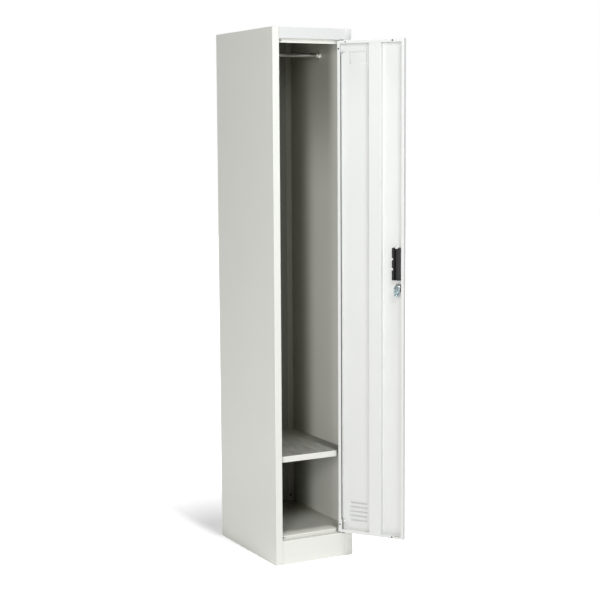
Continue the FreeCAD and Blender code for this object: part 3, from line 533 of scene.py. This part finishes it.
eased("lock_nut", "lock_hex_nut", 0.7 * MM, dull_zinc, "door", "zinc_steel")
eased("lock_plug", "lock_core", 0.2 * MM, zinc, "lock", "zinc_steel")
eased("lock_cam", "lock_lever", 0.9 * MM, zinc, "lock", "zinc_steel")
eased("cam_screw", "lever_screw", 0.4 * MM, dull_zinc, "lock", "zinc_steel")
eased("pull_cup", "pull_shell", 0.6 * MM, black_grain, "door", "black_plastic")

# %% [markdown]
# ## Laying out the open door
# Most of the remaining pieces belong to the door, which stands open. They could be modelled at that
# angle, but it is easier to lay them out flat, in millimetres: distance from the hinge edge, depth behind
# the outer face, and height. One matrix then turns the whole layout with the door.

# %% Door layout
DOOR_OPEN = math.radians(125.5)
DOOR_FOOT, DOOR_HEAD, DOOR_WIDTH, DOOR_THICK, GAUGE = 87.0, 1790.0, 246.0, 18.0, 0.8
AXIS_INSET, AXIS_DEPTH = 10.0, 6.0
DOOR_PLACE = (Matrix.Translation((hinge_axis.x, hinge_axis.y, 0.0)) @ Matrix.Rotation(DOOR_OPEN, 4, "Z")
              @ Matrix.Translation((AXIS_INSET * MM, -AXIS_DEPTH * MM, 0.0)))
door_back = DOOR_PLACE.to_3x3() @ Vector((0, 1, 0))


def on_door(distance, depth, level):
    return DOOR_PLACE @ Vector((-distance * MM, depth * MM, level * MM))


def block(bm, xs, ys, zs, ease=0.0):
    """A block between the given limits in millimetres, with eased edges."""
    spans = [sorted(pair) for pair in (xs, ys, zs)]
    made = bmesh.ops.create_cube(bm, size=1.0)["verts"]
    bmesh.ops.scale(bm, vec=[(high - low) * MM for low, high in spans], verts=made)
    bmesh.ops.translate(bm, vec=[(low + high) / 2 * MM for low, high in spans], verts=made)
    if ease:
        edges = [edge for edge in bm.edges if all(vert in made for vert in edge.verts)]
        bmesh.ops.bevel(bm, geom=edges, offset=ease * MM, offset_type="OFFSET", segments=2, profile=0.5,
                        affect="EDGES", clamp_overlap=True, material=-1)


def door_block(bm, distances, depths, levels, ease=0.0):
    """A block of the door, from its flat layout."""
    block(bm, [-distance for distance in distances], depths, levels, ease)


def door_piece(bm, name, material, slot):
    """Turn a flat layout with the open door and make it a piece."""
    bmesh.ops.transform(bm, matrix=DOOR_PLACE, verts=bm.verts)
    piece_from(bm, name, material, "door", slot)


print("door turned by", round(math.degrees(DOOR_OPEN), 1), "degrees")

# %% [markdown]
# ## Covers of the hinge edge
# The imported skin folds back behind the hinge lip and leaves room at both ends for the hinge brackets. At
# the foot a narrow coated cover carries on the line of the fold in front of the bracket. It steps round
# the bracket's ear, so it is three blocks in a row and one behind the lip. A coated sleeve hides each
# pivot pin. The sleeves turn about the hinge itself, so they are spun in place after the blocks have been
# turned.

# %% Cover the pivot pins
LIP, EAR_GAP, EAR_GAUGE, BRACKET = 12.0, 35.0, 1.5, 38.0
CLEARANCE, EAR_PLAY, OVERLAP = 0.2, 0.3, 0.1
COVER, COVER_EASE, COVER_TUCK, EAR_DEPTH = (14.7, 15.5), 0.2, 0.6, 13.2
EAR_TOP = DOOR_FOOT + GAUGE + BRACKET
EAR_UNDER = EAR_TOP - EAR_GAUGE
BRACKET_FACE, UNDER_LIP = GAUGE + EAR_GAUGE + CLEARANCE, DOOR_THICK - GAUGE - OVERLAP
COVER_FOOT, COVER_TOP = DOOR_FOOT + 3.0, EAR_TOP + 7.0
bm = bmesh.new()
door_block(bm, COVER, (BRACKET_FACE, UNDER_LIP), (COVER_FOOT, EAR_UNDER - EAR_PLAY), COVER_EASE)
door_block(bm, COVER, (EAR_DEPTH, UNDER_LIP),
           (EAR_UNDER - EAR_PLAY - OVERLAP, EAR_TOP + EAR_PLAY + OVERLAP), COVER_EASE)
door_block(bm, COVER, (GAUGE + 2 * CLEARANCE, UNDER_LIP), (EAR_TOP + EAR_PLAY, COVER_TOP), COVER_EASE)
door_block(bm, (LIP - COVER_TUCK, COVER[1]), (UNDER_LIP - GAUGE, UNDER_LIP), (COVER_FOOT, COVER_TOP),
           COVER_EASE)
bmesh.ops.transform(bm, matrix=DOOR_PLACE, verts=bm.verts)

SLEEVE, SLEEVE_RIM, SLEEVE_ROUND = EAR_GAP - 2 * CLEARANCE, 0.2, 32
SLEEVE_SECTION = [(3.03, SLEEVE_RIM), (3.2, 0), (3.45, 0), (3.6, SLEEVE_RIM), (3.6, SLEEVE - SLEEVE_RIM),
                  (3.45, SLEEVE), (3.2, SLEEVE), (3.03, SLEEVE - SLEEVE_RIM)]
for foot in (DOOR_FOOT + BRACKET_FACE, DOOR_HEAD - BRACKET_FACE - SLEEVE):
    lathe(bm, SLEEVE_SECTION, pointing((hinge_axis.x, hinge_axis.y, foot * MM), (0, 0, 1)), SLEEVE_ROUND)
piece_from(bm, "pivot_covers", coat_door, "door", "powder_coat")

# %% [markdown]
# ## Painted shade along the door's edges
# A thin matt black strip, painted shade under the hinge lip, runs down the fold of the hinge edge, and on
# over the cover at the foot. Small black pads paint the shade in the gaps over and under the door, and a
# low pad paints the shade along the lip of the lower free corner. A dark line could be painted in the
# finish, but each of these has a thickness of its own and moves with the door, so they are eased strips.

# %% Lay the shade strips and the pads
SHADE_STRIP_GAUGE, SHADE_STRIP_DEPTHS, SHADE_STRIP_EASE = 0.9, (12.0, 16.8), 0.3
FOLD_END, SHADE_STRIP_SHORT = 46.2, 0.5
PADS, PAD_DEPTHS, PAD_TALL = ((0.6, 9.5), (14.5, 24.5)), (12.3, 17.6), 1.7
PAD_FEET = (DOOR_FOOT - 1.8, DOOR_HEAD + 0.1)
CORNER_PAD, CORNER_PAD_LEVELS = (213.5, 233.0), (96.3, 97.2)
CORNER_PAD_DEPTHS, CORNER_PAD_EASE = (DOOR_THICK - 0.1, DOOR_THICK + 0.4), 0.1
# Matt black strips and pads: painted shade under the lip, in the gaps and along the lower free corner.
bm = bmesh.new()
door_block(bm, (LIP, LIP + SHADE_STRIP_GAUGE), SHADE_STRIP_DEPTHS, (DOOR_FOOT + FOLD_END, DOOR_HEAD - FOLD_END), SHADE_STRIP_EASE)
door_block(bm, (COVER[1], COVER[1] + SHADE_STRIP_GAUGE), SHADE_STRIP_DEPTHS,
           (COVER_FOOT + SHADE_STRIP_SHORT, COVER_TOP - SHADE_STRIP_SHORT), SHADE_STRIP_EASE)
door_block(bm, CORNER_PAD, CORNER_PAD_DEPTHS, CORNER_PAD_LEVELS, CORNER_PAD_EASE)
for foot in PAD_FEET:
    for distances in PADS:
        door_block(bm, distances, PAD_DEPTHS, (foot, foot + PAD_TALL), SHADE_STRIP_EASE)
door_piece(bm, "hinge_shade_strips", shade_black, "black_plastic")

# %% [markdown]
# ## Pressed card frame
# A frame for a name card is pressed into the door from outside, so inside it stands proud with sloping
# sides, which catch the light as faint lines. A block whose inner face is drawn in on all sides is that
# shape, and a bevel rounds the rim as a press tool does.

# %% Press the card frame
CARD_MIDDLE, CARD_WIDTH, CARD_LOW, CARD_HIGH = 73.0, 62.0, 1713.0, 1751.0
CARD_RISE, CARD_SLOPE, CARD_EASE = 1.9, 4.0, 1.2
CARD_TALL, CARD_FACE = CARD_HIGH - CARD_LOW, GAUGE + CARD_RISE
slope_width, slope_tall = CARD_WIDTH + 2 * CARD_SLOPE, CARD_TALL + 2 * CARD_SLOPE
bm = bmesh.new()
door_block(bm, (CARD_MIDDLE - slope_width / 2, CARD_MIDDLE + slope_width / 2), (GAUGE - OVERLAP, CARD_FACE),
           (CARD_LOW - CARD_SLOPE, CARD_HIGH + CARD_SLOPE))
proud = [vert for vert in bm.verts if vert.co.y > (GAUGE + CARD_RISE / 2) * MM]
card_place = Matrix.Translation((CARD_MIDDLE * MM, 0.0, -(CARD_LOW + CARD_HIGH) / 2 * MM))
drawn_in = (CARD_WIDTH / slope_width, 1.0, CARD_TALL / slope_tall)
bmesh.ops.scale(bm, vec=drawn_in, space=card_place, verts=proud)
rim = [edge for edge in bm.edges if all(vert in proud for vert in edge.verts)]
bmesh.ops.bevel(bm, geom=rim, offset=CARD_EASE * MM, offset_type="OFFSET", segments=3, profile=0.5,
                affect="EDGES", clamp_overlap=True, material=-1)
door_piece(bm, "card_frame_press", coat_door, "powder_coat")

# %% [markdown]
# ## Shade lines of the card frame
# Thin dark lines along the frame's top and sides are painted shade at its rim. Each is a dark grey strip
# set into the face, a twentieth of a millimetre proud.

# %% Set in the shade lines of the card frame
SHADE_LINE_DEPTHS, SHADE_LINE_INSET = (CARD_FACE - 0.3, CARD_FACE + 0.05), 1.0
card_left, card_right = CARD_MIDDLE - CARD_WIDTH / 2, CARD_MIDDLE + CARD_WIDTH / 2
shade_line_top = CARD_HIGH - SHADE_LINE_INSET
TOP_SHADE_LINE, TOP_SHADE_LINE_LEVELS = (card_left + 3.0, card_right), (shade_line_top - 0.45, shade_line_top)
FREE_SHADE_LINE, FREE_SHADE_LINE_LEVELS = (card_right - 0.7, card_right), (CARD_LOW + 2.0, shade_line_top)
HINGE_SHADE_LINE, HINGE_SHADE_LINE_LEVELS = (card_left + 1.0, card_left + 1.6), (CARD_LOW - 1.0, CARD_LOW + 12.0)
# Dark grey strips: painted shade at the frame's rim.
bm = bmesh.new()
door_block(bm, TOP_SHADE_LINE, SHADE_LINE_DEPTHS, TOP_SHADE_LINE_LEVELS)
door_block(bm, FREE_SHADE_LINE, SHADE_LINE_DEPTHS, FREE_SHADE_LINE_LEVELS)
door_block(bm, HINGE_SHADE_LINE, SHADE_LINE_DEPTHS, HINGE_SHADE_LINE_LEVELS)
door_piece(bm, "card_shade_lines", painted_grey, "black_plastic")

# %% [markdown]
# ## Pull housing
# Behind the skin the pull is a moulded box with a ramped floor. Two covers close it, a flat one and one
# that rolls off towards the lip, with a dark groove between them. The roll could be a bevelled block, but
# its curve is not a circle, so it is drawn once as an outline and pulled up, with square ends above and
# below.

# %% Close the pull's back
PULL_LEFT, PULL_LEVELS = 202.4, (983.6, 1092.4)
GROOVE, ROLL_LEVELS = (210.4, 217.0), (1000.0, 1079.0)
FLAT_COVER_DEPTHS, FLAT_COVER_EASE = (14.8, 17.3), 0.6
UNDERSIDE = [(236.2, 7.4), (219.0, 14.2), (GROOVE[1], 14.2)]
ROLLED_TOP = [(GROOVE[1], 16.9), (217.8, 17.6), (225.0, 17.5), (229.0, 16.7), (232.2, 14.9), (234.6, 12.3),
              (236.0, 9.6), (236.5, 8.0)]
SQUARE_TOP = [(GROOVE[1], 16.9), (217.8, 17.6), (233.0, 17.6), (235.4, 16.6), (236.4, 14.0), (236.5, 8.0)]


def door_prism(bm, outline, levels):
    """An outline of distances and depths, drawn at the lower level and pulled up to the upper one."""
    low, high = levels
    corners = [bm.verts.new((-distance * MM, depth * MM, low * MM)) for distance, depth in outline]
    pulled = bmesh.ops.extrude_face_region(bm, geom=[bm.faces.new(corners)])["geom"]
    risen = [item for item in pulled if isinstance(item, bmesh.types.BMVert)]
    bmesh.ops.translate(bm, vec=(0.0, 0.0, (high - low) * MM), verts=risen)


bm = bmesh.new()
door_block(bm, (PULL_LEFT, GROOVE[0]), FLAT_COVER_DEPTHS, PULL_LEVELS, FLAT_COVER_EASE)
door_prism(bm, ROLLED_TOP + UNDERSIDE, ROLL_LEVELS)
door_prism(bm, SQUARE_TOP + UNDERSIDE, (PULL_LEVELS[0], ROLL_LEVELS[0]))
door_prism(bm, SQUARE_TOP + UNDERSIDE, (ROLL_LEVELS[1], PULL_LEVELS[1]))
door_piece(bm, "pull_covers", black_grain, "black_plastic")

# %% [markdown]
# ## Highlight on the roll and shade in the groove
# A grey strip round the edge of the roll is a painted highlight, and a matt black lining in the floor of
# the groove is painted shade, the darkest place of the pull. Both could be masks in the black finish. As
# thin strips of their own they stay crisp at any distance and keep the finishes simple.

# %% Line the roll and the groove
# Painted highlight: a grey strip round the edge of the roll.
EDGE_HIGHLIGHT = [(232.4, 15.1), (234.85, 12.45), (236.25, 9.7), (236.75, 8.0), (236.2, 8.0), (235.6, 9.4),
               (234.2, 12.0), (232.1, 14.4)]
HIGHLIGHT_SHORT = 0.4
bm = bmesh.new()
door_prism(bm, EDGE_HIGHLIGHT, (ROLL_LEVELS[0] + HIGHLIGHT_SHORT, ROLL_LEVELS[1] - HIGHLIGHT_SHORT))
door_piece(bm, "pull_edge_highlight", painted_grey, "black_plastic")

# Painted shade: a matt black lining in the floor of the groove.
GROOVE_SHADE_DEPTHS, GROOVE_SHADE_TUCK, GROOVE_SHADE_EASE = (14.8, 15.4), 0.2, 0.15
bm = bmesh.new()
door_block(bm, (GROOVE[0] - GROOVE_SHADE_TUCK, GROOVE[1] + GROOVE_SHADE_TUCK), GROOVE_SHADE_DEPTHS, PULL_LEVELS, GROOVE_SHADE_EASE)
door_piece(bm, "pull_groove_shade", shade_black, "black_plastic")

# %% [markdown]
# ## Tabs of the pull
# Three coated tabs are bent over the box and hold it: two on its hinge side and one at its top. They could
# be drawn out of the skin's own mesh, but that mesh stays as it was packed. So each is two eased blocks, a
# leg that stands on the skin and a flat finger over the black, which shows as a pale notch.

# %% Bend the tabs
TAB_LEVELS, TAB_HALF, TAB_LEG, TAB_REACH = (1021.0, 1055.0), 3.2, (200.4, 201.4), 206.5
TAB_DEPTHS, FINGER_DEPTHS, TAB_EASE = (GAUGE - OVERLAP, 17.9), (17.3, 17.9), 0.2
TOP_TAB, TOP_LEG_LEVELS, TOP_FINGER_LEVELS = (214.0, 224.0), (1093.6, 1094.6), (1090.6, 1094.6)
bm = bmesh.new()
for level in TAB_LEVELS:
    span = (level - TAB_HALF, level + TAB_HALF)
    door_block(bm, TAB_LEG, TAB_DEPTHS, span, TAB_EASE)
    door_block(bm, (TAB_LEG[0], TAB_REACH), FINGER_DEPTHS, span, TAB_EASE)
door_block(bm, TOP_TAB, TAB_DEPTHS, TOP_LEG_LEVELS, TAB_EASE)
door_block(bm, TOP_TAB, FINGER_DEPTHS, TOP_FINGER_LEVELS, TAB_EASE)
door_piece(bm, "pull_tabs", coat_door, "powder_coat")

# %% [markdown]
# ## Corner tabs and lap
# The floor tray and the head are cut away at the hinge corner, where the edge of the door swings. A small
# folded tab closes each cut from behind, so the corner reads as one sheet, and on the front the fascia
# laps over the hinge post with a thin tab. They stand still with the carcass, so they are laid out in its
# own frame and not in the door's.

# %% Fold the corner tabs and the lap
TAB_Y, FOLD_EASE, LAP_EASE = (-426.4, -425.6), 0.2, 0.15
FOOT_TAB_X, FOOT_TAB_Z = (104.0, 124.3), (85.2, 95.0)
FOOT_FLANGE_Y, FOOT_FLANGE_Z = (-426.0, -416.0), (94.2, 95.0)
HEAD_TAB_X, HEAD_TAB_Z, HEAD_FLANGE_Y = (97.6, 124.3), (1779.4, 1793.6), (-438.0, TAB_Y[1])
HEAD_FLANGE_Z = (1792.8, HEAD_TAB_Z[1])
bm = bmesh.new()
block(bm, FOOT_TAB_X, TAB_Y, FOOT_TAB_Z, FOLD_EASE)
block(bm, FOOT_TAB_X, FOOT_FLANGE_Y, FOOT_FLANGE_Z, FOLD_EASE)
block(bm, HEAD_TAB_X, TAB_Y, HEAD_TAB_Z, FOLD_EASE)
block(bm, HEAD_TAB_X, HEAD_FLANGE_Y, HEAD_FLANGE_Z, FOLD_EASE)
piece_from(bm, "corner_tab", coat_white, "cabinet", "powder_coat")

# The lap carries the fascia's greyer tone, which is painted shade, over the top of the hinge post.
LAP_X, LAP_Y, LAP_Z = (124.6, 148.2), (-450.2, -449.7), (1792.4, 1828.4)
bm = bmesh.new()
block(bm, LAP_X, LAP_Y, LAP_Z, LAP_EASE)
piece_from(bm, "fascia_lap", coat_trim, "cabinet", "powder_coat")

# %% [markdown]
# ## Plugs
# The door hung in the coating oven by holes in its folds, and more holes in its ends drain it. Small
# plugs with a low domed cap close them, and their matt black paints the shade inside the holes: the dark
# dots along the folds. One more dark dot is painted shade too, as the black cap of a rivet on the upper
# bracket. All are turned from one section whose cap and shaft follow the hole.

# %% Turn the door's plugs
END_LIP, LIP_HOLE_END, END_HOLE_INSET, DRAIN_INSET, RIVET_PLACE = 11.0, 28.0, 42.0, 35.0, 31.0
LIP_HOLE, DRAIN_HOLE, RIVET = 2.0, 2.5, 1.4
CAP_OVER, SHAFT_PLAY = 0.8, 0.15


def plug_section(hole, shaft, rise=0.7):
    cap = hole + CAP_OVER
    dome = [(0, rise), (cap * 0.5, rise * 0.94), (cap * 0.8, rise * 0.7), (cap * 0.96, rise * 0.3), (cap, 0)]
    return dome + [(hole - SHAFT_PLAY, 0), (hole - SHAFT_PLAY, -shaft), (0, -shaft)]


lip_holes = [(LIP / 2, DOOR_FOOT + LIP_HOLE_END), (LIP / 2, DOOR_HEAD - LIP_HOLE_END)]
for level in (DOOR_FOOT + END_LIP / 2, DOOR_HEAD - END_LIP / 2):
    lip_holes.append((DOOR_WIDTH - END_HOLE_INSET, level))
bm = bmesh.new()
for distance, level in lip_holes:
    hole_place = pointing(on_door(distance, DOOR_THICK, level), door_back)
    lathe(bm, plug_section(LIP_HOLE, shaft=1.5), hole_place, PLUG_ROUND)
for distance in (DRAIN_INSET, DOOR_WIDTH - DRAIN_INSET):
    for level, way in ((DOOR_FOOT + GAUGE, 1), (DOOR_HEAD - GAUGE, -1)):
        drain_place = pointing(on_door(distance, DOOR_THICK / 2, level), (0, 0, way))
        lathe(bm, plug_section(DRAIN_HOLE, shaft=0.7), drain_place, PLUG_ROUND)
rivet_place = pointing(on_door(RIVET_PLACE, DOOR_THICK, DOOR_HEAD - END_LIP / 2), door_back)
lathe(bm, plug_section(RIVET, shaft=0.0), rivet_place, PLUG_ROUND)
piece_from(bm, "door_plugs", shade_black, "door", "black_plastic")

# %% [markdown]
# ## Wall plugs
# The back has four holes for wall screws, and the same kind of plug closes each from inside. The lower
# two are black, painted shade inside those holes, and the upper two are in the white coat, so they are
# two pieces from one section.

# %% Turn the wall plugs
WALL_HOLE, WALL_HOLE_SIDE, WALL_FACE, WALL_PLUG_ROUND = 3.25, 136.0, -2 * GAUGE, 28
LOW_HOLES, HIGH_HOLES = 118.0, 1712.0
WALL_PLUG_SECTION = plug_section(WALL_HOLE, shaft=1.4, rise=1.0)
for level, finish, slot, name in ((LOW_HOLES, black_grain, "black_plastic", "lower_wall_plugs"),
                                  (HIGH_HOLES, coat_white, "powder_coat", "upper_wall_plugs")):
    bm = bmesh.new()
    for side in (-WALL_HOLE_SIDE, WALL_HOLE_SIDE):
        hole_place = pointing((side * MM, WALL_FACE * MM, level * MM), (0, -1, 0))
        lathe(bm, WALL_PLUG_SECTION, hole_place, WALL_PLUG_ROUND)
    piece_from(bm, name, finish, "cabinet", slot)

# %% [markdown]
# ## Stage
# A plain pale floor runs out of sight. A white floor could come from more light, but that would bleach
# the locker. So what the camera sees of the floor is lifted towards white instead: a little behind the
# locker, where the floor keeps its shadow, and fully further out, so the floor meets a white backdrop
# without a line.

# %% Lay the floor
FLOOR_SIZE, FLOOR_TONE, WHITE = 30.0, (0.86, 0.86, 0.86, 1.0), (1.0, 1.0, 1.0, 1.0)
FLOOR_LIFT, LIFT_NEAR, LIFT_FAR = 0.405, 0.35, 0.80
SHADOW_PLACE = (-0.10, 0.20, 0.0)


def seen_directly(tree):
    """1 for the rays that show the backdrop: from the camera, in a mirror and through clear things."""
    path = tree.nodes.new("ShaderNodeLightPath")
    total = path.outputs["Is Camera Ray"]
    for name in ("Is Glossy Ray", "Is Transmission Ray"):
        larger = tree.nodes.new("ShaderNodeMath")
        larger.operation = "MAXIMUM"
        tree.links.new(total, larger.inputs[0])
        tree.links.new(path.outputs[name], larger.inputs[1])
        total = larger.outputs[0]
    return total


ground = Finish("studio_floor")
ground.set(Base_Color=FLOOR_TONE, Emission_Color=WHITE, Roughness=1.0, Specular_IOR_Level=0.0)
away = ground.add("VectorMath", {0: ground.place, 1: SHADOW_PLACE}, operation="DISTANCE").outputs["Value"]
lift = ground.range(away, LIFT_NEAR, LIFT_FAR, FLOOR_LIFT, 1.0, smooth=True)
ground.set(Emission_Strength=ground.math("MULTIPLY", seen_directly(ground.tree), lift))

bm = bmesh.new()
bmesh.ops.create_grid(bm, x_segments=1, y_segments=1, size=FLOOR_SIZE / 2)
floor_mesh = bpy.data.meshes.new("studio_floor")
bm.to_mesh(floor_mesh)
bm.free()
floor_mesh.materials.append(ground.material)
floor = bpy.data.objects.new("studio_floor", floor_mesh)
scene.collection.objects.link(floor)
print("floor", FLOOR_SIZE, "m across")

# %% [markdown]
# ## Light
# The photograph tells where its lamps stood. A soft edge of shadow crosses the inside of the right wall,
# drawn by the left front post, so the main softbox stood 38 degrees to the left, and low, because it
# reaches far in under the roof. The top of the door is brightest, which takes a weaker cool light close
# in front of it, and the short shadow on the floor behind the locker comes from overhead. Sun lamps would
# draw hard edges, so all three are area lights.

# %% Hang the lights
MIDDLE_OF_LOCKER, HEAD_OF_DOOR = Vector((0.0, -0.3, 0.9)), Vector((0.1, -0.4, 1.85))
NEUTRAL_WHITE, COOL_WHITE = (1.0, 1.0, 1.0), (0.90, 0.96, 1.0)


def softbox(name, target, azimuth, elevation, distance, size, power, tint=NEUTRAL_WHITE):
    """An area light aimed at a target. Azimuth 0 is straight in front, and negative is to the left."""
    turn, rise = math.radians(azimuth), math.radians(elevation)
    way = Vector((math.sin(turn) * math.cos(rise), -math.cos(turn) * math.cos(rise), math.sin(rise)))
    lamp = bpy.data.lights.new(name, "AREA")
    lamp.shape = "RECTANGLE"
    lamp.size, lamp.size_y = size
    lamp.energy = power
    lamp.color = tint
    holder = bpy.data.objects.new(name, lamp)
    facing = way.to_track_quat("Z", "Y").to_matrix().to_4x4()
    holder.matrix_world = Matrix.Translation(target + way * distance) @ facing
    scene.collection.objects.link(holder)


softbox("left_key", MIDDLE_OF_LOCKER, azimuth=-38, elevation=10, distance=5.0, size=(0.9, 2.0), power=111)
softbox("front_fill", HEAD_OF_DOOR, azimuth=-8, elevation=16, distance=2.1, size=(0.9, 0.7), power=18,
        tint=COOL_WHITE)
softbox("top_light", MIDDLE_OF_LOCKER, azimuth=1, elevation=81, distance=12.0, size=(0.4, 2.3), power=900)
print("lights", [light.name for light in bpy.data.lights])

# %% [markdown]
# ## Sky
# A low even sky keeps the folds from going black. The camera should still see a white backdrop, so the
# sky has two levels, a dim one for the light it gives and a full one for the rays that show it.

# %% Raise the sky
SKY_LIGHT, SKY_SEEN = 0.12, 1.0
world = bpy.data.worlds.new("studio_sky")
scene.world = world
world.use_nodes = True
backdrop = world.node_tree.nodes["Background"]
backdrop.inputs["Color"].default_value = WHITE
sky_level = world.node_tree.nodes.new("ShaderNodeMapRange")
sky_level.inputs["To Min"].default_value = SKY_LIGHT
sky_level.inputs["To Max"].default_value = SKY_SEEN
world.node_tree.links.new(seen_directly(world.node_tree), sky_level.inputs["Value"])
world.node_tree.links.new(sky_level.outputs[0], backdrop.inputs["Strength"])
print("sky at", SKY_LIGHT)
